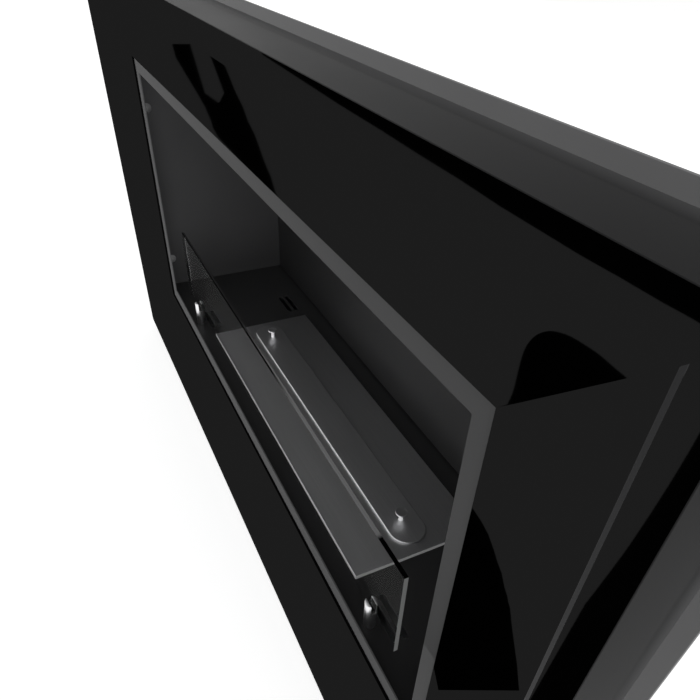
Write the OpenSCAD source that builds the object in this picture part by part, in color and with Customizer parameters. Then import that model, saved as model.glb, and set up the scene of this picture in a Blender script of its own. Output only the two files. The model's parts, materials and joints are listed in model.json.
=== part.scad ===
// Bioethanol fireplace for a wall niche.
// X runs along the wall, Y into the wall, Z up. The wall is the plane Y = 0, and X = 0, Z = 0 is
// the centre of the opening. Everything with a negative Y stands in front of the wall.

/* [Front frame] */
// Overall width of the front frame
frame_w = 1200; // [1120:10:1400]
// Overall height of the front frame
frame_h = 640; // [620:10:760]
// Width of the sloping face, seen from the front
slope_w = 105; // [90:1:112]
// How far the rim stands in front of the trim plate
slope_d = 42; // [30:1:60]
// Height of the lip on the trim plate that the sloping face starts from
lip_h = 3.5; // [3:0.5:6]
// Depth of the return behind the rim
return_d = 39; // [36:1:60]
// Sheet of the fascia and the casing
frame_sheet = 2; // [1:0.5:3]
// Seam between the fascia and the casing
seam_gap = 1; // [0.5:0.5:3]
// How far a splice strip reaches to each side of the seam
splice_reach = 12; // [8:1:14]
// Thickness of the splice strips and corner angles
splice_t = 2; // [1:0.5:3]
// Leg of a corner angle
corner_leg = 30; // [20:1:50]

/* [Casing and wall plate] */
// Distance from the wall to the front of the trim plate
stand_off = 57; // [50:1:90]
// How far the wall plate shows outside the casing
wall_lip = 11; // [5:1:20]
// Thickness of the wall plate
wall_plate_t = 2; // [1:0.5:4]
// Radius of a wall screw hole
wall_hole_r = 3.5; // [2:0.25:5]
// Distance from the casing's side to the wall screw holes
hole_inset_x = 20; // [18:1:22]
// Distance from the casing's top or bottom to the wall screw holes
hole_inset_z = 120; // [80:1:140]
// Leg of the angles behind the casing
angle_leg = 12; // [8:0.5:12]
// Thickness of the angles behind the casing
angle_t = 2; // [1:0.5:3]
// Width of a casing clip
clip_w = 40; // [20:1:60]

/* [Housing] */
// Distance from the outside of the casing to the housing, at the sides
housing_inset_x = 50; // [48:1:52]
// Distance from the outside of the casing to the housing, above and below
housing_inset_z = 60; // [59:1:61]
// Sheet of the housing
housing_t = 2; // [1:0.5:3]
// Air gap behind the hearth
back_gap = 20; // [10:1:40]

/* [Trim and hearth] */
// Visible border of the trim plate
trim_border = 21; // [12:1:30]
// Thickness of the trim plate
trim_t = 2; // [1:0.5:4]
// How far the hearth's side walls stand outside the opening
side_overlap = 56; // [35:1:58]
// How far the floor lies below the opening, and the ceiling above it
floor_drop = 15; // [8:1:20]
// Depth of the hearth behind the trim plate
hearth_d = 244; // [230:1:300]
// Sheet of the hearth
hearth_t = 2; // [1:0.5:3]
// Length of a vent slot
vent_l = 62; // [30:1:80]
// Width of a vent slot
vent_w = 7; // [3:0.5:8]
// Distance between the two slots of a pair
vent_pitch = 13; // [10:0.5:16]
// Distance from the burner's side edge to the nearest end of a slot
vent_gap = 31; // [15:1:45]
// Distance from the burner's front or back edge to the middle of the outer slot
vent_inset = 5; // [2:0.5:20]
// Width of a floor support
support_w = 24; // [15:1:40]
// Distance from the end of a vent slot to a floor support
support_gap = 28; // [10:1:40]

/* [Side screws] */
// Radius of the domed head
side_head_r = 8; // [6:0.5:10]
// Height of the domed head
side_head_h = 4; // [2:0.5:6]
// Radius of the shank
side_shank_r = 4; // [2.5:0.5:5]
// Radius of the spacer tube
side_spacer_r = 7; // [6:0.5:9]
// Distance from the trim plate to the screws
side_screw_y = 10; // [9:0.5:20]
// Distance from the ceiling to the upper screws
side_screw_drop = 80; // [40:1:120]
// Distance from the floor to the lower screws
side_screw_rise = 56; // [40:1:120]

/* [Burner] */
// Width of the burner plate
burner_w = 594; // [500:2:700]
// Depth of the burner plate
burner_d = 180; // [170:1:190]
// Thickness of the burner plate
burner_t = 5.5; // [2:0.5:8]
// Distance from the trim plate to the burner plate
burner_y = 28.5; // [27:0.5:32]
// How far the fuel tank lies inside the edge of the burner plate
tank_inset = 20; // [16:1:30]
// Height of the fuel tank below the burner plate
tank_h = 44; // [34:1:46]
// Sheet of the fuel tank
tank_t = 1.5; // [1:0.5:3]
// Height of the ceramic wool in the tank
wool_h = 24; // [15:1:28]
// Distance from the end of the burner plate to the flame slot
slot_inset = 33; // [32:1:80]
// Width of the flame slot
slot_w = 34; // [28:1:60]
// How far the flame slot lies behind the middle of the burner plate
slot_shift = 3; // [0:0.5:8]

/* [Lid] */
// How far the lid laps over each end of the flame slot
lid_lap_end = 19; // [12:1:30]
// How far the lid laps over each side of the flame slot
lid_lap_side = 8; // [6:1:20]
// Thickness of the lid
lid_t = 3; // [1.5:0.5:5]
// Height of the collar under the lid
collar_h = 10; // [5:0.5:14]
// Sheet of the collar
collar_t = 1.5; // [1:0.5:2]
// Distance from the end of the lid to a knob
knob_inset = 41; // [38:1:60]
// Height of a knob above the lid
knob_h = 14.5; // [10:0.5:25]
// Radius of a knob's head
knob_head_r = 8; // [6:0.5:10]
// Radius of a knob's neck
knob_neck_r = 3; // [2.5:0.5:5]
// Radius of the screw in a knob
knob_screw_r = 1.5; // [1.25:0.25:2]

/* [Glass screen] */
// Distance from the side of the opening to the pane
glass_inset = 62; // [30:1:100]
// Height of the pane
glass_h = 127; // [90:1:180]
// Thickness of the pane
glass_t = 5; // [4:0.5:6]
// Distance from the trim plate to the middle of the pane
glass_y = 17.5; // [17:0.5:18]
// Radius of a post
post_r = 7.5; // [6.5:0.5:8]
// Height of a post
post_h = 42; // [35:1:60]
// Distance from the end of the pane to a post
post_inset = 56; // [30:1:120]
// Depth of the slot in a post
post_slot_d = 15; // [10:0.5:20]
// Thickness of the pad under the pane
pad_base_t = 3; // [1:0.5:5]
// Thickness of the pad beside the pane
pad_side_t = 0.5; // [0.4:0.1:0.8]
// Radius of the bolt under a post
post_bolt_r = 3; // [2:0.5:3]

/* [Hidden] */
$fn = 64;

// Clearance of a screw in its hole
screw_gap = 0.2;
// Clearance of a thread in its hole
thread_gap = 0.1;
// Clearance of a loose piece in its seat
seat_gap = 0.3;
// Clearance between pieces that only lie near each other
near_gap = 1;
// Clearance of the tank in the floor, and of the collar in the flame slot
drop_gap = 4;
// How far every cut runs past the face it opens
cut_over = 1;

// Depth places, from the room to the back
trim_y = -stand_off;
trim_back_y = trim_y + trim_t;
rim_y = trim_y - slope_d;
return_y = rim_y + return_d;
casing_y = return_y + seam_gap;
hearth_back_y = trim_back_y + hearth_d;
housing_back_y = hearth_back_y + hearth_t + back_gap;

// The opening in the trim plate
open_w = frame_w - 2 * (slope_w + trim_border);
open_h = frame_h - 2 * (slope_w + trim_border);

// The hearth and the housing, half sizes
hearth_x = open_w / 2 + side_overlap;
hearth_z = open_h / 2 + floor_drop;
housing_x = frame_w / 2 - housing_inset_x;
housing_z = frame_h / 2 - housing_inset_z;
floor_z = -hearth_z;

// Sloping sheet, up to the flat rim that the edge of the return makes
slope_run = slope_w - frame_sheet;
slope_rise = slope_d - lip_h;
slope_l = sqrt(slope_run * slope_run + slope_rise * slope_rise);
// Its thickness measured along Y, and where its back meets the outside of the lip
slope_back = frame_sheet * slope_l / slope_run;
lip_back_y = trim_y - lip_h + slope_back - frame_sheet * slope_rise / slope_run;
// Where its back meets the inside of the return
bend_y = rim_y + slope_back;

// The burner, its plate, its tank and its lid
tank_w = burner_w - 2 * tank_inset;
tank_d = burner_d - 2 * tank_inset;
slot_l = burner_w - 2 * slot_inset;
lid_l = slot_l + 2 * lid_lap_end;
lid_w = slot_w + 2 * lid_lap_side;
knob_span = lid_l - 2 * knob_inset;
burner_mid_y = trim_back_y + burner_y + burner_d / 2;
slot_mid_y = burner_mid_y + slot_shift;
burner_top_z = floor_z + burner_t;
tank_floor_z = floor_z - tank_h;
lid_top_z = burner_top_z + lid_t;
knob_places = [-knob_span / 2, knob_span / 2];

// The collar hangs in the flame slot
collar_l = slot_l - 2 * drop_gap;
collar_w = slot_w - 2 * drop_gap;

// Knob: foot, neck and head
knob_foot_rim = 1.5;
knob_foot_r = knob_neck_r + knob_foot_rim;
knob_foot_h = 1.5;
knob_head_t = 2.5;
knob_dish_rim = 1.5;
knob_dish_r = knob_head_r - knob_dish_rim;
knob_dish_d = 0.5;
knob_bore_d = 8;
knob_flare = knob_head_r - knob_neck_r;
flare_steps = 6;
lid_screw_head_r = 3.5;
lid_screw_head_h = 2;

// The pane and its posts
glass_w = open_w - 2 * glass_inset;
post_span = glass_w - 2 * post_inset;
glass_mid_y = trim_back_y + glass_y;
post_top_z = floor_z + post_h;
post_slot_z = post_top_z - post_slot_d;
post_slot_w = glass_t + 2 * seat_gap + 2 * pad_side_t;
post_bevel = 0.8;
pad_inset = 2;
pad_l = 2 * (post_r - pad_inset);
glass_low_z = post_slot_z + pad_base_t;
post_places = [-post_span / 2, post_span / 2];
post_bolt_d = 16;
post_bolt_head_r = 5;
post_bolt_head_h = 4;

// Screws through the hearth's side walls
side_screw_mid_y = trim_back_y + side_screw_y;
side_screw_zs = [hearth_z - side_screw_drop, side_screw_rise - hearth_z];
side_nut_h = 6.5;
side_nut_r = 7.5;
side_thread_end = 2;
dome_steps = 8;

// Vent slots, in pairs in front of and behind the tank
vent_mid_x = burner_w / 2 + vent_gap + vent_l / 2;
vent_end_x = vent_mid_x + vent_l / 2;
vent_far_y = burner_d / 2 - vent_inset;
vent_rows = [-vent_far_y, vent_pitch - vent_far_y, vent_far_y - vent_pitch, vent_far_y];

// Wall screw holes
wall_holes_x = frame_w - 2 * hole_inset_x;
wall_holes_z = frame_h - 2 * hole_inset_z;

// Angles behind the casing
housing_bar_share_x = 0.7;
housing_bar_share_z = 0.5;
clip_share_x = 0.7;
strip_end_gap = corner_leg + frame_sheet;

// A box between two corners
module block(low, high) {
    translate(low) cube(high - low);
}

// A copy on each side of the plane X = 0
module both_x() {
    children();
    mirror([1, 0, 0]) children();
}

// A copy above and below the plane Z = 0
module both_z() {
    children();
    mirror([0, 0, 1]) children();
}

// A flat shape with two round ends, its length along X
module stadium(length, width) {
    square([length - width, width], center = true);
    for (end = [-1, 1])
        translate([end * (length - width) / 2, 0]) circle(d = width);
}

// A pin along X that starts at a point and runs towards -X
module pin_x(radius, from_x, to_x) {
    translate([to_x, 0, 0]) rotate([0, 90, 0]) cylinder(r = radius, h = from_x - to_x);
}

// Section of a fascia panel: Y across, distance from the centre upwards
module fascia_section(edge) {
    polygon([
        [trim_y, edge - slope_w],
        [trim_y - lip_h, edge - slope_w],
        [rim_y, edge - frame_sheet],
        [rim_y, edge],
        [return_y, edge],
        [return_y, edge - frame_sheet],
        [bend_y, edge - frame_sheet],
        [lip_back_y, edge - slope_w + frame_sheet],
        [trim_y, edge - slope_w + frame_sheet]
    ]);
}

// The part of the front that one panel takes, with 45 degree mitres, as a prism along Y
module mitre(half_long, half_short) {
    inner = half_short - slope_w - cut_over;
    outer = half_short + cut_over;
    shift = half_long - half_short;
    back = max(trim_y, return_y) + cut_over;
    translate([0, back, 0])
        rotate([90, 0, 0])
            linear_extrude(back - rim_y + cut_over)
                polygon([[-inner - shift, inner], [inner + shift, inner],
                         [outer + shift, outer], [-outer - shift, outer]]);
}

module long_panel() {
    intersection() {
        rotate([90, 0, 90]) linear_extrude(frame_w, center = true) fascia_section(frame_h / 2);
        mitre(frame_w / 2, frame_h / 2);
    }
}

module short_panel() {
    intersection() {
        mirror([1, -1, 0]) linear_extrude(frame_h, center = true) fascia_section(frame_w / 2);
        rotate([0, 90, 0]) mitre(frame_h / 2, frame_w / 2);
    }
}

module fascia_top() {
    color([0.04, 0.04, 0.045]) long_panel();
}

module fascia_bottom() {
    color([0.04, 0.04, 0.045]) mirror([0, 0, 1]) long_panel();
}

module fascia_right() {
    color([0.04, 0.04, 0.045]) short_panel();
}

module fascia_left() {
    color([0.04, 0.04, 0.045]) mirror([1, 0, 0]) short_panel();
}

// Angles inside the corners of the returns
module fascia_corners() {
    inside_x = frame_w / 2 - frame_sheet;
    inside_z = frame_h / 2 - frame_sheet;
    front = bend_y + splice_t * slope_rise / slope_run + near_gap;
    back = return_y - splice_reach - near_gap;
    color([0.3, 0.3, 0.31]) both_x() both_z() {
        block([inside_x - corner_leg, front, inside_z - splice_t], [inside_x, back, inside_z]);
        block([inside_x - splice_t, front, inside_z - corner_leg], [inside_x, back, inside_z]);
    }
}

// Flat strips behind the seam between fascia and casing
module splice_strips() {
    inside_x = frame_w / 2 - frame_sheet;
    inside_z = frame_h / 2 - frame_sheet;
    front = return_y - splice_reach;
    back = casing_y + splice_reach;
    color([0.3, 0.3, 0.31]) {
        both_z() block([-inside_x + strip_end_gap, front, inside_z - splice_t],
                       [inside_x - strip_end_gap, back, inside_z]);
        both_x() block([inside_x - splice_t, front, -inside_z + strip_end_gap],
                       [inside_x, back, inside_z - strip_end_gap]);
    }
}

// Side strips of the casing: the long ones run over the ends of the short ones
module casing_long() {
    block([-frame_w / 2, casing_y, frame_h / 2 - frame_sheet], [frame_w / 2, -wall_plate_t, frame_h / 2]);
}

module casing_short() {
    block([frame_w / 2 - frame_sheet, casing_y, -frame_h / 2 + frame_sheet],
          [frame_w / 2, -wall_plate_t, frame_h / 2 - frame_sheet]);
}

module casing_top() {
    color([0.22, 0.22, 0.225]) casing_long();
}

module casing_bottom() {
    color([0.22, 0.22, 0.225]) mirror([0, 0, 1]) casing_long();
}

module casing_right() {
    color([0.22, 0.22, 0.225]) casing_short();
}

module casing_left() {
    color([0.22, 0.22, 0.225]) mirror([1, 0, 0]) casing_short();
}

// Ring plate that lies on the wall, round the housing
module wall_plate() {
    outer_x = frame_w / 2 + wall_lip;
    outer_z = frame_h / 2 + wall_lip;
    inner_x = housing_x + seat_gap;
    inner_z = housing_z + seat_gap;
    color([0.32, 0.32, 0.325]) difference() {
        block([-outer_x, -wall_plate_t, -outer_z], [outer_x, 0, outer_z]);
        block([-inner_x, -wall_plate_t - cut_over, -inner_z], [inner_x, cut_over, inner_z]);
        both_x() both_z()
            translate([wall_holes_x / 2, cut_over, wall_holes_z / 2])
                rotate([90, 0, 0]) cylinder(r = wall_hole_r, h = wall_plate_t + 2 * cut_over);
    }
}

// An angle on the wall plate: one leg runs forwards on a face at the given height, the other up the plate
module angle_up(length, height) {
    face = -wall_plate_t;
    block([-length / 2, face - angle_leg, height], [length / 2, face, height + angle_t]);
    block([-length / 2, face - angle_t, height], [length / 2, face, height + angle_leg]);
}

// The same angle seen from the other side: the second leg runs down the plate
module angle_down(length, height) {
    face = -wall_plate_t;
    block([-length / 2, face - angle_leg, height - angle_t], [length / 2, face, height]);
    block([-length / 2, face - angle_t, height - angle_leg], [length / 2, face, height]);
}

module casing_clips() {
    color([0.3, 0.3, 0.31]) {
        both_z() both_x()
            translate([clip_share_x * frame_w / 2, 0, 0]) angle_down(clip_w, frame_h / 2 - frame_sheet);
        both_x() rotate([0, 90, 0]) angle_down(clip_w, frame_w / 2 - frame_sheet);
    }
}

module housing_angles() {
    color([0.3, 0.3, 0.31]) {
        both_z() angle_up(housing_bar_share_x * 2 * housing_x, housing_z);
        both_x() rotate([0, 90, 0]) angle_up(housing_bar_share_z * 2 * housing_z, housing_x);
    }
}

// The outer box in the niche
module housing_flat() {
    block([-housing_x, trim_back_y, housing_z - housing_t], [housing_x, housing_back_y, housing_z]);
}

module housing_side() {
    difference() {
        block([housing_x - housing_t, trim_back_y, -housing_z + housing_t],
              [housing_x, housing_back_y, housing_z - housing_t]);
        side_holes();
    }
}

module housing_top() {
    color([0.25, 0.25, 0.26]) housing_flat();
}

module housing_bottom() {
    color([0.25, 0.25, 0.26]) mirror([0, 0, 1]) housing_flat();
}

module housing_right() {
    color([0.25, 0.25, 0.26]) housing_side();
}

module housing_left() {
    color([0.25, 0.25, 0.26]) mirror([1, 0, 0]) housing_side();
}

module housing_back() {
    color([0.25, 0.25, 0.26])
        block([-housing_x, housing_back_y, -housing_z],
              [housing_x, housing_back_y + housing_t, housing_z]);
}

// Flat plate round the opening; the fascia's inner edges stand on it
module trim_plate() {
    color([0.28, 0.28, 0.285]) difference() {
        block([-housing_x, trim_y, -housing_z], [housing_x, trim_back_y, housing_z]);
        block([-open_w / 2, trim_y - cut_over, -open_h / 2],
              [open_w / 2, trim_back_y + cut_over, open_h / 2]);
    }
}

// Hearth floor with the burner cut-out, the vent slots and the holes for the post bolts
module hearth_floor() {
    cut_x = tank_w / 2 + drop_gap;
    cut_y = tank_d / 2 + drop_gap;
    under = floor_z - hearth_t;
    color([0.11, 0.11, 0.115]) difference() {
        block([-hearth_x - hearth_t, trim_back_y, under],
              [hearth_x + hearth_t, hearth_back_y + hearth_t, floor_z]);
        block([-cut_x, burner_mid_y - cut_y, under - cut_over],
              [cut_x, burner_mid_y + cut_y, floor_z + cut_over]);
        for (side = [-1, 1], row = vent_rows)
            translate([side * vent_mid_x, burner_mid_y + row, under - cut_over])
                linear_extrude(hearth_t + 2 * cut_over) stadium(vent_l, vent_w);
        for (place = post_places)
            translate([place, glass_mid_y, under - cut_over])
                cylinder(r = post_bolt_r + screw_gap, h = hearth_t + 2 * cut_over);
    }
}

module hearth_back() {
    color([0.2, 0.2, 0.205])
        block([-hearth_x, hearth_back_y, -hearth_z], [hearth_x, hearth_back_y + hearth_t, hearth_z]);
}

module hearth_side() {
    difference() {
        block([hearth_x, trim_back_y, -hearth_z],
              [hearth_x + hearth_t, hearth_back_y + hearth_t, hearth_z]);
        side_holes();
    }
}

module hearth_right() {
    color([0.2, 0.2, 0.205]) hearth_side();
}

module hearth_left() {
    color([0.2, 0.2, 0.205]) mirror([1, 0, 0]) hearth_side();
}

module hearth_top() {
    color([0.2, 0.2, 0.205])
        block([-hearth_x - hearth_t, trim_back_y, hearth_z],
              [hearth_x + hearth_t, hearth_back_y + hearth_t, hearth_z + hearth_t]);
}

// Places of the screws in a side wall, on the +X side
module at_side_screws() {
    for (height = side_screw_zs)
        translate([0, side_screw_mid_y, height]) children();
}

module side_holes() {
    at_side_screws() pin_x(side_shank_r + screw_gap, housing_x + cut_over, hearth_x - cut_over);
}

// Domed head inside the hearth, shank outwards through both walls
module side_screws() {
    color([0.5, 0.5, 0.51]) both_x() at_side_screws() {
        pin_x(side_shank_r, housing_x + side_nut_h + side_thread_end, hearth_x);
        translate([hearth_x, 0, 0]) rotate([0, -90, 0]) rotate_extrude()
            polygon(concat([[0, 0]], [for (step = [0:dome_steps])
                let (turn = 90 * step / dome_steps) [side_head_r * cos(turn), side_head_h * sin(turn)]]));
    }
}

module side_spacers() {
    color([0.5, 0.5, 0.51]) both_x() at_side_screws() difference() {
        pin_x(side_spacer_r, housing_x - housing_t, hearth_x + hearth_t);
        pin_x(side_shank_r + screw_gap, housing_x, hearth_x);
    }
}

module side_nuts() {
    color([0.5, 0.5, 0.51]) both_x() at_side_screws() difference() {
        translate([housing_x, 0, 0]) rotate([0, 90, 0]) cylinder(r = side_nut_r, h = side_nut_h, $fn = 6);
        pin_x(side_shank_r + thread_gap, housing_x + side_nut_h + cut_over, housing_x - cut_over);
    }
}

// Channels between the hearth floor and the bottom of the housing
module floor_supports() {
    low = -housing_z + housing_t;
    high = floor_z - hearth_t;
    front = trim_back_y + near_gap;
    mid = vent_end_x + support_gap + support_w / 2;
    color([0.25, 0.25, 0.26]) both_x() difference() {
        block([mid - support_w / 2, front, low], [mid + support_w / 2, hearth_back_y, high]);
        block([mid - support_w / 2 + hearth_t, front - cut_over, low + hearth_t],
              [mid + support_w / 2 + cut_over, hearth_back_y + cut_over, high - hearth_t]);
    }
}

module burner_plate() {
    color([0.42, 0.42, 0.43]) difference() {
        block([-burner_w / 2, burner_mid_y - burner_d / 2, floor_z],
              [burner_w / 2, burner_mid_y + burner_d / 2, burner_top_z]);
        translate([0, slot_mid_y, floor_z - cut_over])
            linear_extrude(burner_t + 2 * cut_over) stadium(slot_l, slot_w);
    }
}

module burner_tank() {
    half = [tank_w / 2, tank_d / 2];
    color([0.55, 0.55, 0.56]) translate([0, burner_mid_y, 0]) difference() {
        block([-half.x, -half.y, tank_floor_z], [half.x, half.y, floor_z]);
        block([-half.x + tank_t, -half.y + tank_t, tank_floor_z + tank_t],
              [half.x - tank_t, half.y - tank_t, floor_z + cut_over]);
    }
}

module burner_wool() {
    half = [tank_w / 2 - tank_t - seat_gap, tank_d / 2 - tank_t - seat_gap];
    low = tank_floor_z + tank_t;
    color([0.85, 0.83, 0.78]) translate([0, burner_mid_y, 0])
        block([-half.x, -half.y, low], [half.x, half.y, low + wool_h]);
}

module lid_plate() {
    color([0.45, 0.45, 0.46]) translate([0, slot_mid_y, burner_top_z]) difference() {
        linear_extrude(lid_t) stadium(lid_l, lid_w);
        for (place = knob_places)
            translate([place, 0, -cut_over])
                cylinder(r = knob_screw_r + screw_gap, h = lid_t + 2 * cut_over);
    }
}

module lid_collar() {
    color([0.5, 0.5, 0.51]) translate([0, slot_mid_y, burner_top_z - collar_h]) linear_extrude(collar_h)
        difference() {
            stadium(collar_l, collar_w);
            stadium(collar_l - 2 * collar_t, collar_w - 2 * collar_t);
        }
}

// Foot, neck, flare and dished head, with a blind thread from below
module knob() {
    flare_z = knob_h - knob_head_t - knob_flare;
    flare = [for (step = [0:flare_steps])
        let (turn = 90 * step / flare_steps)
        [knob_head_r - knob_flare * cos(turn), flare_z + knob_flare * sin(turn)]];
    difference() {
        rotate_extrude() polygon(concat(
            [[0, 0], [knob_foot_r, 0], [knob_foot_r, knob_foot_h], [knob_neck_r, knob_foot_h]],
            flare,
            [[knob_head_r, knob_h], [knob_dish_r, knob_h], [knob_dish_r, knob_h - knob_dish_d],
             [0, knob_h - knob_dish_d]]));
        translate([0, 0, -cut_over]) cylinder(r = knob_screw_r + thread_gap, h = knob_bore_d + cut_over);
    }
}

module lid_knob_left() {
    color([0.8, 0.8, 0.82]) translate([knob_places[0], slot_mid_y, lid_top_z]) knob();
}

module lid_knob_right() {
    color([0.8, 0.8, 0.82]) translate([knob_places[1], slot_mid_y, lid_top_z]) knob();
}

module lid_screws() {
    color([0.6, 0.6, 0.61]) for (place = knob_places)
        translate([place, slot_mid_y, burner_top_z]) {
            translate([0, 0, -lid_screw_head_h]) cylinder(r = lid_screw_head_r, h = lid_screw_head_h);
            cylinder(r = knob_screw_r, h = lid_t + knob_bore_d - near_gap);
        }
}

module glass_pane() {
    color([0.75, 0.8, 0.8, 0.35])
        block([-glass_w / 2, glass_mid_y - glass_t / 2, glass_low_z],
              [glass_w / 2, glass_mid_y + glass_t / 2, glass_low_z + glass_h]);
}

// Round post with a bevelled top, a slot for the pane and a thread from below
module post() {
    difference() {
        rotate_extrude() polygon([[0, 0], [post_r, 0], [post_r, post_h - post_bevel],
                                  [post_r - post_bevel, post_h], [0, post_h]]);
        translate([0, 0, post_h - post_slot_d / 2 + cut_over / 2])
            cube([2 * post_r + 2 * cut_over, post_slot_w, post_slot_d + cut_over], center = true);
        translate([0, 0, -cut_over]) cylinder(r = post_bolt_r + thread_gap, h = post_bolt_d + cut_over);
    }
}

module glass_post_left() {
    color([0.8, 0.8, 0.82]) translate([post_places[0], glass_mid_y, floor_z]) post();
}

module glass_post_right() {
    color([0.8, 0.8, 0.82]) translate([post_places[1], glass_mid_y, floor_z]) post();
}

// Rubber liners: a base under the pane and a cheek on each side of it
module post_pads() {
    inside = glass_t / 2 + seat_gap;
    color([0.08, 0.08, 0.08]) for (place = post_places) translate([place, glass_mid_y, 0]) difference() {
        block([-pad_l / 2, -post_slot_w / 2, post_slot_z],
              [pad_l / 2, post_slot_w / 2, post_top_z - post_bevel]);
        block([-pad_l / 2 - cut_over, -inside, glass_low_z], [pad_l / 2 + cut_over, inside, post_top_z]);
    }
}

module post_bolts() {
    under = floor_z - hearth_t;
    color([0.5, 0.5, 0.51]) for (place = post_places) translate([place, glass_mid_y, under]) {
        translate([0, 0, -post_bolt_head_h]) cylinder(r = post_bolt_head_r, h = post_bolt_head_h);
        cylinder(r = post_bolt_r, h = hearth_t + post_bolt_d - near_gap);
    }
}

fascia_top();
fascia_bottom();
fascia_left();
fascia_right();
fascia_corners();
splice_strips();
casing_top();
casing_bottom();
casing_left();
casing_right();
wall_plate();
casing_clips();
housing_angles();
housing_top();
housing_bottom();
housing_left();
housing_right();
housing_back();
trim_plate();
hearth_floor();
hearth_back();
hearth_left();
hearth_right();
hearth_top();
side_screws();
side_spacers();
side_nuts();
floor_supports();
burner_plate();
burner_tank();
burner_wool();
lid_plate();
lid_collar();
lid_knob_left();
lid_knob_right();
lid_screws();
glass_pane();
glass_post_left();
glass_post_right();
post_pads();
post_bolts();
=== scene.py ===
import json
import math

import bmesh
import bpy
from mathutils import Matrix, Vector


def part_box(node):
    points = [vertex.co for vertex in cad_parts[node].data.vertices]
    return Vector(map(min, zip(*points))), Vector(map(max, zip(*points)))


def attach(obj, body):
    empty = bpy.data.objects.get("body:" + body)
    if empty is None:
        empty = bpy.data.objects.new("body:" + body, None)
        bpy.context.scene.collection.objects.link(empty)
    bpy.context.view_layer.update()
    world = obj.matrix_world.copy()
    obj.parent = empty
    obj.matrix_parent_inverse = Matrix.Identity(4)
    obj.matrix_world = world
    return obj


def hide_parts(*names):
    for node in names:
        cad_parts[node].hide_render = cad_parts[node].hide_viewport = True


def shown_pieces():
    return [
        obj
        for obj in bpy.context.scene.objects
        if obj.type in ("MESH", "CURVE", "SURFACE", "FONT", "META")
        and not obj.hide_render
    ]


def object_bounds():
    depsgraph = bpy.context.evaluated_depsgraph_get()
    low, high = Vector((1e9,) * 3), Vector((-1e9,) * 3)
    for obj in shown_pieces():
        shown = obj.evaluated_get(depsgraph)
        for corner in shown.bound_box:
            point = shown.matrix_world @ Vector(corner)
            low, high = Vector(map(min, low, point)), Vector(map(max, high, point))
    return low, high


MM = 0.001
MERGE = 0.001 * MM
WHITE = (1.0, 1.0, 1.0, 1.0)
BLACK = (0.0, 0.0, 0.0, 1.0)

# How far the sharp edges of each kind of piece are eased
SHEET_EDGE = 0.3 * MM
SOFT_EDGE = 0.4 * MM
PLATE_EDGE = 0.8 * MM
LID_EDGE = 1.0 * MM
WOOL_EDGE = 2.0 * MM
PAD_EDGE = 0.1 * MM
HIDDEN_EDGE = 0.2 * MM
SHARP_FROM = 20

# Heights of the finest relief, and how far the brushed grain is drawn out along X
SKIN_BUMP = 0.02 * MM
GRAIN_BUMP = 0.01 * MM
WOOL_BUMP = 0.4 * MM
GRAIN_SCALE = (12.0, 1600.0, 1600.0)

# Shares of the even mirror over the glass and over the lacquer
GLASS_MIRROR = 0.006
LACQUER_MIRROR = 0.0116

# Turned pieces and the slotted posts
NECK_SHARE = 0.375
KNOB_EASE = 0.3 * MM
KNOB_FOOT = 0.4 * MM
KNOB_RIM = 2.5 * MM
KNOB_FLARE = 3.2 * MM
KNOB_LAND = 1.6 * MM
DISH_EDGE = 2.2 * MM
DISH_DEPTH = 0.2 * MM
POST_BEVEL = 0.8 * MM
POST_TOP_GAP = 0.1 * MM
SCREW_SHANK_R = 4.0 * MM
SCREW_HEAD_H = 4.0 * MM

# Where along X the painted view of the plate on the pane's top edge turns pale and dark again,
# and where the pane's middle is in Y
PALE_FRONT = (60 * MM, 145 * MM)
PALE_BACK = (-75 * MM, 60 * MM)
PALE_END = (356 * MM, 362 * MM)
PANE_MIDDLE = (-37.9 * MM, -37.1 * MM)

# Light levels, where both lights come from, and the floor
FLOOR_LIFT = 0.55
SKY_LEVEL = 0.45
SUN_LEVEL = 0.9
FILL_LEVEL = 1.3
LIGHT_FROM = (0.88, -0.2, 0.43)
LIGHT_ANGLE = 45
FLOOR_R = 8.0
FLOOR_GAP = 1 * MM

# The camera's place in metres and its turns in degrees
CAMERA_AT = (0.678857, -0.239050, 0.408458)
CAMERA_YAW = 62.77059
CAMERA_DOWN = 40.51689
CAMERA_ROLL = 2.37530
CAMERA_LENS = 31.1699
CAMERA_SHIFT = 0.108289

# Outlines in millimetres of the cards that the gloss black mirrors, each across one axis
TOP_BAND = [
    (-900, 330), (446, 330), (446, 529), (356, 529), (318, 530), (262, 530), (199, 531),
    (126, 530), (43, 529), (-54, 525), (-168, 523), (-302, 519), (-465, 516), (-900, 502)]
RIGHT_BAND = [
    (610, -1000), (835, -1000), (810, -339), (805, -298), (799, -245), (794, -197),
    (790.6, -155), (787.8, -116), (785.6, -79), (784, -46), (783, -15), (778, 260), (610, 260)]
ARCH = [
    (-6625, -413), (-6518, -573), (-6519, -587), (-6571, -701), (-6630, -816), (-6713, -936),
    (-6805, -1056), (-6896, -1172), (-6990, -1293), (-7095, -1439), (-7188, -1584),
    (-7245, -1702), (-7277, -1811), (-7289, -1923), (-7274, -2030), (-7220, -2133),
    (-7143, -2220), (-7056, -2279), (-6951, -2323), (-6824, -2365), (-6677, -2399),
    (-6513, -2418), (-6328, -2430), (-6106, -2440), (-5882, -2443), (-5684, -2430),
    (-5501, -2413), (-5331, -2404), (-5168, -2396), (-4980, -2361)]
CURVE = [
    (297, -58), (309, -66), (319, -73), (326, -78), (332, -82), (339, -86), (346, -90),
    (354, -93), (364, -97), (373, -100), (381, -103), (388, -106), (396, -108), (404, -110),
    (412, -113), (417, -114), (423, -116), (436, -118), (453, -121), (474, -125),
    (496, -128), (516, -57), (440, -57)]
PALE_PATCH = [(385, -100), (500, -118), (500, -195), (405, -178), (398, -150), (388, -120)]
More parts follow.
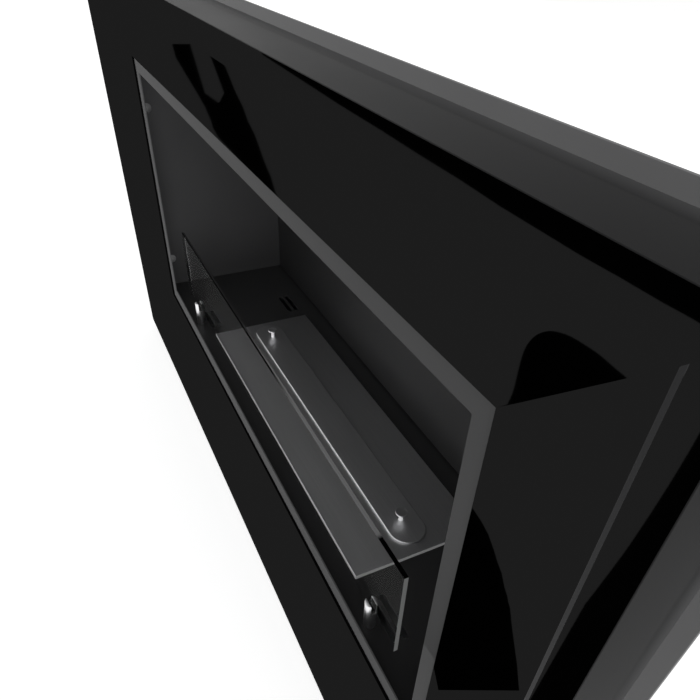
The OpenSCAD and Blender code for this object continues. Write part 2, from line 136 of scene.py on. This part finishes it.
SLANT = [
    (-203, -3605), (-246, -3451), (-302, -3356), (-344, -3250), (-386, -3147), (-416, -3033),
    (-446, -2922), (-575, -2383), (-671, -2225), (-868, -2409), (-537, -3012), (-564, -3139),
    (-592, -3269), (-758, -3229), (-1047, -2576), (-1161, -2682), (-900, -3369),
    (-835, -3595), (-743, -3805), (-673, -4047), (-576, -4272), (-475, -4505), (-383, -4760),
    (-262, -4996), (-175, -5228)]

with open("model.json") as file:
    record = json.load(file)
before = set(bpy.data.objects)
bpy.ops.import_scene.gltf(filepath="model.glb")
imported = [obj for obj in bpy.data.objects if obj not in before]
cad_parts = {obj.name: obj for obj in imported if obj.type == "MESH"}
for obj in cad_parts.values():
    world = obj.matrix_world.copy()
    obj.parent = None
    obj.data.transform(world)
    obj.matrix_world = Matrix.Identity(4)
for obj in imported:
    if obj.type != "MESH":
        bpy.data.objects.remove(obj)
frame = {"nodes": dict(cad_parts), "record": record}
cad_box = [list(corner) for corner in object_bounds()]
scene = bpy.context.scene
record = frame["record"]
BODY_OF = {node: body for body, nodes in record["behaviour"]["bodies"].items() for node in nodes}


# Node helpers

def feed(tree, value, target):
    """Sets a socket to a plain value, or wires it to another socket."""
    if isinstance(value, bpy.types.NodeSocket):
        tree.links.new(value, target)
    else:
        target.default_value = value


def add(tree, kind, **values):
    """A node with its settings, and with its plain inputs set by name."""
    node = tree.nodes.new(kind)
    for key, value in values.items():
        if key in node.inputs:
            node.inputs[key].default_value = value
        else:
            setattr(node, key, value)
    return node


def set_inputs(node, values):
    """Sets inputs that have a space in their name."""
    for label, value in values.items():
        node.inputs[label].default_value = value


def value_math(tree, operation, first, second):
    """A Math node over two values, each a number or a socket."""
    node = add(tree, "ShaderNodeMath", operation=operation)
    feed(tree, first, node.inputs[0])
    feed(tree, second, node.inputs[1])
    return node.outputs[0]


def multiplied(tree, colour, tone):
    """A colour times a tone, each plain or a socket."""
    node = add(tree, "ShaderNodeMix", data_type="RGBA", blend_type="MULTIPLY")
    node.inputs["Factor"].default_value = 1.0
    feed(tree, colour, node.inputs[6])
    feed(tree, tone, node.inputs[7])
    return node.outputs[2]


def spread(tree, source, low, high, start=0.3, end=0.7):
    """A value stretched so that its range from start to end runs from low to high."""
    node = add(tree, "ShaderNodeMapRange")
    feed(tree, source, node.inputs["Value"])
    set_inputs(node, {"From Min": start, "From Max": end})
    feed(tree, low, node.inputs["To Min"])
    feed(tree, high, node.inputs["To Max"])
    return node.outputs["Result"]


def object_place(tree):
    """The socket of a point's place on the object."""
    return add(tree, "ShaderNodeTexCoord").outputs["Object"]


def place_axes(tree):
    """The sockets of a point's X, Y and Z on the object."""
    split = add(tree, "ShaderNodeSeparateXYZ")
    feed(tree, object_place(tree), split.inputs["Vector"])
    return split.outputs


def noise(tree, place, **values):
    """A noise texture over places on the object."""
    node = add(tree, "ShaderNodeTexNoise", **values)
    feed(tree, place, node.inputs["Vector"])
    return node


def group_with(name, inputs):
    """An empty shader group with named inputs, which puts out a tone, a roughness and a normal."""
    group = bpy.data.node_groups.new(name, "ShaderNodeTree")
    for label, default in inputs.items():
        socket = group.interface.new_socket(
            label, in_out="INPUT", socket_type="NodeSocketFloat")
        socket.default_value = default
    for label, kind in (("Tone", "Float"), ("Roughness", "Float"), ("Normal", "Vector")):
        group.interface.new_socket(label, in_out="OUTPUT", socket_type="NodeSocket" + kind)
    return group, group.nodes.new("NodeGroupInput"), group.nodes.new("NodeGroupOutput")


def finish_group(group, given, result, tone, haze, height, depth, distance):
    """Feeds a group's outputs: tone and roughness from one pattern, the normal from another.

    haze and depth name the inputs that say how far the roughness and the normal change.
    """
    change = given.outputs["Tone spread"]
    darker = value_math(group, "SUBTRACT", 1.0, change)
    lighter = value_math(group, "ADD", 1.0, change)
    feed(group, spread(group, tone, darker, lighter), result.inputs["Tone"])
    smooth = given.outputs["Roughness"]
    rough = value_math(group, "ADD", smooth, given.outputs[haze])
    feed(group, spread(group, tone, smooth, rough), result.inputs["Roughness"])
    bump = add(group, "ShaderNodeBump", Distance=distance)
    feed(group, given.outputs[depth], bump.inputs["Strength"])
    feed(group, height, bump.inputs["Height"])
    feed(group, bump.outputs["Normal"], result.inputs["Normal"])


def make_paint_group():
    """Cured paint: slow tone changes, a faint haze in the roughness and a fine skin."""
    group, given, result = group_with(
        "paint_skin",
        {"Tone spread": 0.04, "Roughness": 0.4, "Haze": 0.03, "Skin size": 900.0,
         "Skin depth": 0.1})
    place = object_place(group)
    slow = noise(group, place, Scale=9.0, Detail=3.0)
    fine = noise(group, place, Detail=2.0)
    feed(group, given.outputs["Skin size"], fine.inputs["Scale"])
    finish_group(group, given, result, slow.outputs["Fac"], "Haze",
                 fine.outputs["Fac"], "Skin depth", SKIN_BUMP)
    return group


def make_brush_group():
    """Brushed metal: long grain along X in tone, roughness and height."""
    group, given, result = group_with(
        "brushed_grain",
        {"Tone spread": 0.06, "Roughness": 0.3, "Grain spread": 0.06, "Grain depth": 0.15})
    stretch = add(group, "ShaderNodeMapping")
    stretch.inputs["Scale"].default_value = GRAIN_SCALE
    feed(group, object_place(group), stretch.inputs["Vector"])
    grain = noise(group, stretch.outputs["Vector"], Scale=1.0, Detail=3.0)
    finish_group(group, given, result, grain.outputs["Fac"], "Grain spread",
                 grain.outputs["Fac"], "Grain depth", GRAIN_BUMP)
    return group


PAINT = make_paint_group()
BRUSH = make_brush_group()


# Materials

def new_material(name):
    """A material with its node tree and its shader."""
    material = bpy.data.materials.new(name)
    material.use_nodes = True
    tree = material.node_tree
    shader = next(n for n in tree.nodes if n.type == "BSDF_PRINCIPLED")
    return material, tree, shader


def add_skin(tree, group, shader, **values):
    """A group that feeds a shader's roughness and normal, and its node."""
    skin = add(tree, "ShaderNodeGroup", node_tree=group)
    set_inputs(skin, {label.replace("_", " ").capitalize(): v for label, v in values.items()})
    for label in ("Roughness", "Normal"):
        feed(tree, skin.outputs[label], shader.inputs[label])
    return skin


def use_group(tree, group, shader, colour, **values):
    """Feeds a shader's colour, roughness and normal from a group, and gives the colour."""
    skin = add_skin(tree, group, shader, **values)
    tinted = multiplied(tree, (*colour, 1.0), skin.outputs["Tone"])
    feed(tree, tinted, shader.inputs["Base Color"])
    return tinted


def painted(name, colour, roughness, shine, light_fades=(), **skin):
    """Satin paint, whose tone may change by place with painted light and shade.

    Each light fade, a painted light or shade, is an axis, the tones at its two ends and the
    places of these ends in millimetres.
    """
    material, tree, shader = new_material(name)
    shader.inputs["Specular IOR Level"].default_value = shine
    tinted = use_group(tree, PAINT, shader, colour, roughness=roughness, **skin)
    if light_fades:
        axes = place_axes(tree)
        tone = 1.0
        for axis, low, high, start, end in light_fades:
            light_fade = spread(tree, axes[axis], low, high, start * MM, end * MM)
            tone = value_math(tree, "MULTIPLY", tone, light_fade)
        feed(tree, multiplied(tree, tinted, tone), shader.inputs["Base Color"])
    return material


def metal(name, group, colour, roughness, **values):
    """Bare metal with a grain or a skin."""
    material, tree, shader = new_material(name)
    shader.inputs["Metallic"].default_value = 1.0
    use_group(tree, group, shader, colour, roughness=roughness, **values)
    return material


def lay_mirror(tree, ground, share):
    """Lays an even, thin mirror over a ground shader, and gives the mirror's shader."""
    mirror = add(tree, "ShaderNodeBsdfPrincipled", Metallic=1.0, Roughness=0.0)
    mirror.inputs["Base Color"].default_value = WHITE
    blend = add(tree, "ShaderNodeMixShader", Fac=share)
    feed(tree, ground.outputs["BSDF"], blend.inputs[1])
    feed(tree, mirror.outputs["BSDF"], blend.inputs[2])
    output = next(n for n in tree.nodes if n.type == "OUTPUT_MATERIAL")
    feed(tree, blend.outputs["Shader"], output.inputs["Surface"])
    return mirror


def lacquered(name, roughness):
    """Black gloss lacquer: a black ground under a thin mirror."""
    material, tree, ground = new_material(name)
    ground.inputs["Specular IOR Level"].default_value = 0.0
    use_group(tree, PAINT, ground, (0.0004, 0.0004, 0.0004), roughness=0.5, tone_spread=0.1)
    add_skin(tree, PAINT, lay_mirror(tree, ground, LACQUER_MIRROR),
             roughness=roughness, haze=0.01, skin_size=350.0, skin_depth=0.02)
    return material


def clear_glass(name, bend):
    """Clear glass that bends the light by an index, with a thin even reflection."""
    material, tree, body = new_material(name)
    set_inputs(body, {"Base Color": (0.99, 0.993, 0.991, 1.0), "Transmission Weight": 1.0,
                      "Roughness": 0.0, "IOR": bend})
    lay_mirror(tree, body, GLASS_MIRROR)
    return material


def painted_edge_view(name):
    """The pane's top edge, with a painted view of the steel plate below it and of dark floor at
    the ends.

    Towards the left the edge's front half turns dark sooner than its back half.
    """
    material, tree, shader = new_material(name)
    set_inputs(shader, {"Roughness": 0.2, "Specular IOR Level": 0.05})
    axes = place_axes(tree)
    front = spread(tree, axes["X"], 0.0, 1.0, *PALE_FRONT)
    back = spread(tree, axes["X"], 0.12, 1.0, *PALE_BACK)
    left = spread(tree, axes["Y"], front, back, *PANE_MIDDLE)
    right = spread(tree, axes["X"], 1.0, 0.0, *PALE_END)
    blend = add(tree, "ShaderNodeMix", data_type="RGBA")
    blend.inputs[6].default_value = (0.001, 0.001, 0.001, 1.0)
    blend.inputs[7].default_value = (0.23, 0.23, 0.233, 1.0)
    feed(tree, value_math(tree, "MULTIPLY", left, right), blend.inputs["Factor"])
    feed(tree, blend.outputs[2], shader.inputs["Base Color"])
    return material


def fibre(name):
    """Ceramic wool: a pale mat of short fibres."""
    material, tree, shader = new_material(name)
    shader.inputs["Roughness"].default_value = 0.95
    strands = noise(tree, object_place(tree), Scale=700.0, Detail=6.0, Distortion=3.0)
    ramp = add(tree, "ShaderNodeValToRGB")
    ramp.color_ramp.elements[0].color = (0.55, 0.53, 0.49, 1.0)
    ramp.color_ramp.elements[1].color = (0.85, 0.83, 0.79, 1.0)
    feed(tree, strands.outputs["Fac"], ramp.inputs["Fac"])
    feed(tree, ramp.outputs["Color"], shader.inputs["Base Color"])
    bump = add(tree, "ShaderNodeBump", Strength=0.6, Distance=WOOL_BUMP)
    feed(tree, strands.outputs["Fac"], bump.inputs["Height"])
    feed(tree, bump.outputs["Normal"], shader.inputs["Normal"])
    return material


GLOSS_BLACK = lacquered("gloss_black", roughness=0.02)
# Painted light: the casing turns darker towards the front and much paler next to the wall plate,
# over the shade that the plate's lip casts there
CASING_PAINTED_LIGHT = painted(
    "casing_grey_painted_light", (0.021, 0.021, 0.0214), roughness=0.45, shine=0.07,
    light_fades=[("Y", 0.68, 0.92, -59, -16), ("Y", 1.0, 4.2, -16, -1)])
# Painted shade: the side walls darken with depth and towards the floor, and lighten upwards
SIDE_PAINTED_SHADE = painted(
    "hearth_side_grey_painted_shade", (0.042, 0.042, 0.043), roughness=0.45, shine=0.1,
    light_fades=[("Y", 1.05, 0.64, -55, 189), ("Z", 1.0, 1.2, -60, 150), ("Z", 0.68, 1.0, -190, -90)])
# Painted shade: the back wall darkens towards both ends and at its foot
BACK_PAINTED_SHADE = painted(
    "hearth_back_painted_shade", (0.03, 0.03, 0.0305), roughness=0.45, shine=0.1,
    light_fades=[("X", 0.64, 1.0, -330, 20), ("X", 1.0, 0.64, 200, 530),
           ("Z", 0.85, 1.0, -206, -150)])
# Painted shadow: a dark line along the floor at the foot of the back wall
FLOOR_BLACK_PAINTED_SHADOW = painted(
    "hearth_floor_black_painted_shadow", (0.016, 0.016, 0.0164), roughness=0.4, shine=0.1,
    light_fades=[("Y", 1.0, 0.6, 182, 186)])
TOP_GREY = painted("hearth_grey", (0.042, 0.042, 0.043), roughness=0.45, shine=0.1)
LIP_GREY = painted("wall_plate_grey", (0.195, 0.195, 0.197), roughness=0.45, shine=0.1)
TRIM_GREY = painted("trim_grey", (0.085, 0.085, 0.086), roughness=0.5, shine=0.025)
RIM_GREY = painted("rim_edge_grey", (0.024, 0.024, 0.025), roughness=0.4, shine=0.1)
BURNER_EDGE = painted("burner_edge_steel", (0.31, 0.31, 0.315), roughness=0.35, shine=0.3)
# Painted highlight: the front cut edge is a brighter copy of the cut-edge paint
BURNER_FRONT_HIGHLIGHT = painted("burner_front_painted_highlight", (0.62, 0.62, 0.63), roughness=0.35, shine=0.3)
# Painted highlight: the knobs' steel necks are painted near white
NECK_PAINTED_HIGHLIGHT = painted("knob_neck_painted_highlight", (0.9, 0.9, 0.91), roughness=0.4, shine=0.5)
SCREW_STEEL = painted("side_screw_grey", (0.15, 0.15, 0.152), roughness=0.3, shine=0.4)
RUBBER = painted("rubber", (0.02, 0.02, 0.02), roughness=0.7, shine=0.3,
                 skin_size=2500.0, skin_depth=0.4)
BURNER_STEEL = metal("burner_steel", BRUSH, (0.62, 0.62, 0.63), roughness=0.37)
LID_STEEL = metal("lid_steel", BRUSH, (0.71, 0.71, 0.72), roughness=0.37)
ZINC_STEEL = metal("zinc_steel", BRUSH, (0.42, 0.43, 0.44), roughness=0.4)
TANK_STEEL = metal("tank_steel", BRUSH, (0.4, 0.4, 0.41), roughness=0.35)
POLISHED_STEEL = metal("polished_steel", PAINT, (0.95, 0.95, 0.96), roughness=0.3,
                       haze=0.04, skin_depth=0.01)
PANE_GLASS = clear_glass("pane_glass", bend=1.0)
PANE_LEFT = clear_glass("pane_left_end", bend=1.5)
PANE_RIGHT = painted("ground_glass_edge", (0.19, 0.195, 0.193), roughness=0.3, shine=0.3)
# The pane's top edge carries a painted view of the plate and floor seen through the glass
PANE_TOP_PAINTED_VIEW = painted_edge_view("pane_polished_edge_painted_view")
WOOL = fibre("ceramic_wool")


# Shapes

def linked_object(name, bm, materials):
    """Turns a bmesh into an object of the scene."""
    mesh = bpy.data.meshes.new(name)
    bm.to_mesh(mesh)
    bm.free()
    for material in materials:
        mesh.materials.append(material)
    made = bpy.data.objects.new(name, mesh)
    scene.collection.objects.link(made)
    return made


def finish_piece(name, bm, node, materials):
    """Turns a bmesh into a piece that stands for one CAD node."""
    piece = linked_object(name, bm, materials)
    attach(piece, BODY_OF[node])
    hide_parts(node)
    return piece


def eased(node, radius, materials, pick=None, segments=2, keep=None):
    """A copy of a CAD node with its sharp edges eased.

    pick gives a face's material number from its normal, and keep picks faces whose edges stay
    sharp.
    """
    bm = bmesh.new()
    bm.from_mesh(frame["nodes"][node].data)
    bmesh.ops.remove_doubles(bm, verts=bm.verts, dist=MERGE)
    for face in bm.faces:
        face.smooth = False
        face.material_index = pick(face.normal) if pick else 0
    sharp = [e for e in bm.edges
             if e.is_manifold and e.calc_face_angle() > math.radians(SHARP_FROM)
             and not (keep and any(keep(face.normal) for face in e.link_faces))]
    made = bmesh.ops.bevel(bm, geom=sharp, affect="EDGES", offset=radius, segments=segments,
                           profile=0.5, material=-1, clamp_overlap=True)
    for face in made["faces"]:
        face.smooth = True
    return finish_piece(node + "_finished", bm, node, materials)


def lathe(profile, steps=64):
    """A turned solid about Z from (radius, height) pairs that start and end on the axis."""
    bm = bmesh.new()
    verts = [bm.verts.new((radius, 0, height)) for radius, height in profile]
    edges = [bm.edges.new(pair) for pair in zip(verts, verts[1:])]
    bmesh.ops.spin(bm, geom=verts + edges, cent=(0, 0, 0), axis=(0, 0, 1), angle=math.tau,
                   steps=steps, use_merge=True)
    bmesh.ops.remove_doubles(bm, verts=bm.verts, dist=MERGE)
    bmesh.ops.recalc_face_normals(bm, faces=bm.faces)
    for face in bm.faces:
        face.smooth = True
    return bm


def arc(centre, radius, start, end, steps):
    """Points on an arc of a lathe profile, angles in degrees."""
    turns = [math.radians(start + (end - start) * i / steps) for i in range(steps + 1)]
    return [(centre[0] + radius * math.cos(t), centre[1] + radius * math.sin(t)) for t in turns]


def keep_edges(piece, degrees):
    """Shows the edges that turn further than this as sharp ones."""
    piece.data.set_sharp_from_angle(angle=math.radians(degrees))


def middle(node):
    """The centre of a CAD node's box."""
    low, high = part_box(node)
    return (low + high) / 2


def stand_on_foot(bm, node):
    """Moves a shape from the origin to the foot of its CAD node."""
    foot = Vector((middle(node).x, middle(node).y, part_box(node)[0].z))
    bmesh.ops.translate(bm, vec=foot, verts=bm.verts)


def raise_region(bm, made, height):
    """Lifts the vertices of a newly extruded region."""
    verts = [part for part in made if isinstance(part, bmesh.types.BMVert)]
    bmesh.ops.translate(bm, vec=(0, 0, height), verts=verts)


def make_knob(node):
    """Turned knob with a slim neck painted near white as a highlight, and a dished head."""
    low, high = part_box(node)
    head = (high.x - low.x) / 2
    tall = high.z - low.z
    neck = head * NECK_SHARE
    rim_z = tall - KNOB_RIM
    profile = [(0, 0)]
    profile += arc((neck + KNOB_FOOT, KNOB_FOOT), KNOB_FOOT, 270, 180, 5)
    profile += [(head + (x - head) * (head - neck) / KNOB_FLARE, z)
                for x, z in arc((head, rim_z - KNOB_FLARE), KNOB_FLARE, 180, 95, 10)]
    profile += arc((head - KNOB_EASE, rim_z + KNOB_EASE), KNOB_EASE, 300, 360, 4)
    profile += arc((head - KNOB_EASE, tall - KNOB_EASE), KNOB_EASE, 0, 90, 4)
    profile += arc((head - KNOB_LAND, tall - KNOB_EASE), KNOB_EASE, 90, 120, 2)
    profile += [(head - DISH_EDGE, tall - DISH_DEPTH), (0, tall - DISH_DEPTH)]
    bm = lathe(profile)
    for face in bm.faces:
        # Faces below the head's rim take the neck's painted highlight
        face.material_index = int(face.calc_center_median().z < rim_z)
    stand_on_foot(bm, node)
    keep_edges(finish_piece(node + "_turned", bm, node, [POLISHED_STEEL, NECK_PAINTED_HIGHLIGHT]), 50)


def make_post(node):
    """Round post with a bevelled top, slotted for the pane."""
    low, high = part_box(node)
    radius = (high.x - low.x) / 2
    tall = high.z - low.z
    pads_low, pads_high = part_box("post_pads")
    slot_half = (pads_high.y - pads_low.y) / 2
    slot_floor = pads_low.z - low.z
    bm = bmesh.new()
    bmesh.ops.create_circle(bm, cap_ends=True, radius=radius, segments=72)
    for side in (-slot_half, slot_half):
        bmesh.ops.bisect_plane(bm, geom=list(bm.verts) + list(bm.edges) + list(bm.faces),
                               plane_co=(0, side, 0), plane_no=(0, 1, 0), dist=MERGE)
    base = list(bm.faces)
    raised = bmesh.ops.extrude_face_region(bm, geom=base, use_keep_orig=True)["geom"]
    raise_region(bm, raised, slot_floor)
    cheeks = [part for part in raised if isinstance(part, bmesh.types.BMFace)
              and abs(part.calc_center_median().y) > slot_half]
    upper = bmesh.ops.extrude_face_region(bm, geom=cheeks)["geom"]
    raise_region(bm, upper, tall - slot_floor)
    bmesh.ops.recalc_face_normals(bm, faces=bm.faces)
    rims = [e for e in bm.edges if e.is_manifold and e.calc_face_angle() > math.radians(60)
            and min(v.co.z for v in e.verts) > tall - POST_TOP_GAP]
    bmesh.ops.bevel(bm, geom=rims, affect="EDGES", offset=POST_BEVEL, segments=2, profile=0.5,
                    material=-1, clamp_overlap=True)
    for face in bm.faces:
        face.smooth = True
    stand_on_foot(bm, node)
    keep_edges(finish_piece(node + "_turned", bm, node, [POLISHED_STEEL]), 30)


def make_side_screws(node):
    """Four domed screw heads on the liner's side walls, with their shanks."""
    low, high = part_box(node)
    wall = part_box("hearth_right")[0].x
    head_r = (high.y - low.y) / 2
    shank_l = high.x - wall
    profile = [(0, -shank_l), (SCREW_SHANK_R, -shank_l), (SCREW_SHANK_R, 0), (head_r, 0)]
    ball = (head_r ** 2 + SCREW_HEAD_H ** 2) / (2 * SCREW_HEAD_H)
    start = math.degrees(math.acos(head_r / ball))
    profile += arc((0, SCREW_HEAD_H - ball), ball, start, 90, 10)
    merged = bmesh.new()
    for side in (-1, 1):
        for height in (low.z + head_r, high.z - head_r):
            one = lathe(profile, 48)
            turn = Matrix.Rotation(math.radians(-90 * side), 4, "Y")
            spot = Matrix.Translation((side * wall, middle(node).y, height))
            bmesh.ops.transform(one, matrix=spot @ turn, verts=one.verts)
            held = bpy.data.meshes.new("screw_part")
            one.to_mesh(held)
            one.free()
            merged.from_mesh(held)
            bpy.data.meshes.remove(held)
    keep_edges(finish_piece(node + "_turned", merged, node, [SCREW_STEEL]), 40)


def faces_room(normal):
    """Faces that look straight into the room."""
    return int(normal.y < -0.99)


def on_mitre(normal):
    """Faces of a mitre joint, cut across a corner of the frame."""
    return abs(normal.x) > 0.3 and abs(normal.z) > 0.3


def pane_side(normal):
    """The pane's faces: 0 large ones and bottom edge, 1 top edge, 2 right end and 3 left end."""
    if abs(normal.y) > 0.5 or normal.z < -0.5:
        return 0
    if normal.z > 0.5:
        return 1
    return 2 if normal.x > 0 else 3


def plate_side(normal):
    """The burner plate's faces: 0 lying ones, 1 cut edges and 2 the front one, painted as a
    highlight.
    """
    if abs(normal.z) > 0.1:
        return 0
    return 2 if normal.y < -0.9 else 1


# The object

for side in ("top", "bottom"):
    eased("fascia_" + side, SHEET_EDGE, [GLOSS_BLACK], keep=on_mitre)
for side in ("left", "right"):
    eased("fascia_" + side, SHEET_EDGE, [GLOSS_BLACK, RIM_GREY], faces_room, keep=on_mitre)
for side in ("top", "bottom", "left", "right"):
    eased("casing_" + side, SOFT_EDGE, [CASING_PAINTED_LIGHT])
eased("wall_plate", SHEET_EDGE, [LIP_GREY])
eased("trim_plate", SHEET_EDGE, [TRIM_GREY])
for side in ("left", "right"):
    eased("hearth_" + side, SHEET_EDGE, [SIDE_PAINTED_SHADE])
eased("hearth_top", SHEET_EDGE, [TOP_GREY])
eased("hearth_back", SHEET_EDGE, [BACK_PAINTED_SHADE])
eased("hearth_floor", SOFT_EDGE, [FLOOR_BLACK_PAINTED_SHADOW])
eased("burner_plate", PLATE_EDGE, [BURNER_STEEL, BURNER_EDGE, BURNER_FRONT_HIGHLIGHT], plate_side,
      segments=3)
eased("lid_plate", LID_EDGE, [LID_STEEL], segments=3)
eased("glass_pane", SOFT_EDGE, [PANE_GLASS, PANE_TOP_PAINTED_VIEW, PANE_RIGHT, PANE_LEFT], pane_side)
for side in ("left", "right"):
    make_knob("lid_knob_" + side)
    make_post("glass_post_" + side)
make_side_screws("side_screws")
eased("burner_tank", SHEET_EDGE, [TANK_STEEL])
eased("burner_wool", WOOL_EDGE, [WOOL], segments=3)
eased("lid_collar", SHEET_EDGE, [TANK_STEEL])
eased("post_pads", PAD_EDGE, [RUBBER])
for node in ("fascia_corners", "splice_strips", "casing_clips", "housing_angles",
             "side_spacers", "side_nuts", "floor_supports", "lid_screws", "post_bolts",
             "housing_top", "housing_bottom", "housing_left", "housing_right", "housing_back"):
    eased(node, HIDDEN_EDGE, [ZINC_STEEL], segments=1)

# Across the opening the lacquer mirrors the white room, and not the panel there
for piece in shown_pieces():
    if piece.name.startswith(("fascia", "splice", "casing")):
        piece.visible_glossy = False


# Room, light and camera

def seen_directly(tree):
    """1 for rays from the camera, a mirror or a pane, and 0 for those that carry light."""
    rays = add(tree, "ShaderNodeLightPath")
    seen = value_math(tree, "MAXIMUM", rays.outputs["Is Camera Ray"],
                      rays.outputs["Is Glossy Ray"])
    return value_math(tree, "MAXIMUM", seen, rays.outputs["Is Transmission Ray"])


def make_floor():
    """Pale floor that shows white to the camera and keeps the object's shadow."""
    material, tree, shader = new_material("pale_floor")
    set_inputs(shader, {"Base Color": (0.8, 0.8, 0.8, 1.0), "Roughness": 0.9,
                        "Specular IOR Level": 0.0, "Emission Color": WHITE})
    lift = value_math(tree, "MULTIPLY", seen_directly(tree), FLOOR_LIFT)
    feed(tree, lift, shader.inputs["Emission Strength"])
    bm = bmesh.new()
    bmesh.ops.create_circle(bm, cap_ends=True, radius=FLOOR_R, segments=64)
    low = min(corner[2] for corner in cad_box)
    bmesh.ops.translate(bm, vec=(0, 0, low - FLOOR_GAP), verts=bm.verts)
    floor = linked_object("floor", bm, [material])
    floor.visible_glossy = False


def make_world():
    """White to the camera and in reflections, softer as a light."""
    world = bpy.data.worlds.new("studio")
    scene.world = world
    world.use_nodes = True
    tree = world.node_tree
    background = next(n for n in tree.nodes if n.type == "BACKGROUND")
    background.inputs["Color"].default_value = WHITE
    extra = value_math(tree, "MULTIPLY", seen_directly(tree), 1.0 - SKY_LEVEL)
    level = value_math(tree, "ADD", extra, SKY_LEVEL)
    feed(tree, level, background.inputs["Strength"])


def make_card(name, axis, place, outline, glow=0.0):
    """A card that only reflections show, black as a dark corner of the studio or white.

    It lies across an axis at a place on it, and its outline gives the other two coordinates.
    """
    material, _, shader = new_material(name)
    set_inputs(shader, {"Base Color": BLACK, "Specular IOR Level": 0.0,
                        "Emission Color": WHITE, "Emission Strength": glow})
    bm = bmesh.new()
    verts = []
    for pair in outline:
        corner = list(pair)
        corner.insert("XYZ".index(axis), place)
        verts.append(bm.verts.new(Vector(corner) * MM))
    bm.faces.new(verts)
    card = linked_object(name, bm, [material])
    card.visible_camera = False
    card.visible_diffuse = False
    card.visible_transmission = False
    card.visible_shadow = False


def make_light(name, level, shadow):
    """A broad soft light from the front right, a little above, which nothing mirrors."""
    light = bpy.data.lights.new(name, "SUN")
    light.energy = level
    light.angle = math.radians(LIGHT_ANGLE)
    light.use_shadow = shadow
    lamp = bpy.data.objects.new(name, light)
    scene.collection.objects.link(lamp)
    lamp.rotation_euler = Vector(LIGHT_FROM).to_track_quat("Z", "Y").to_euler()
    lamp.visible_glossy = False
    lamp.visible_transmission = False


def make_camera():
    """The photo's viewpoint, fitted to the straight edges of the frame."""
    data = bpy.data.cameras.new("photo_view")
    data.sensor_width = 36.0
    data.lens = CAMERA_LENS
    data.shift_y = CAMERA_SHIFT
    data.clip_start = 0.01
    data.clip_end = 50.0
    camera = bpy.data.objects.new("photo_view", data)
    scene.collection.objects.link(camera)
    place = Matrix.Translation(CAMERA_AT)
    yaw = Matrix.Rotation(math.radians(CAMERA_YAW), 4, "Z")
    pitch = Matrix.Rotation(math.radians(90 - CAMERA_DOWN), 4, "X")
    roll = Matrix.Rotation(math.radians(CAMERA_ROLL), 4, "Z")
    camera.matrix_world = place @ yaw @ pitch @ roll
    scene.camera = camera


make_floor()
make_world()
make_card("card_behind_top", "Y", 300, TOP_BAND)
make_card("card_behind_right", "Y", 300, RIGHT_BAND)
make_card("card_far_below", "Z", -10000, ARCH)
make_card("card_low_right", "Z", -50, CURVE)
make_card("card_white", "Z", -51, PALE_PATCH, glow=1.0)
make_card("card_far_left", "X", -10000, SLANT)

# The second light casts no shadows, which keeps the inside of the hearth readable
make_light("soft_key", SUN_LEVEL, shadow=True)
make_light("soft_fill", FILL_LEVEL, shadow=False)
make_camera()
scene.view_settings.view_transform = "Standard"
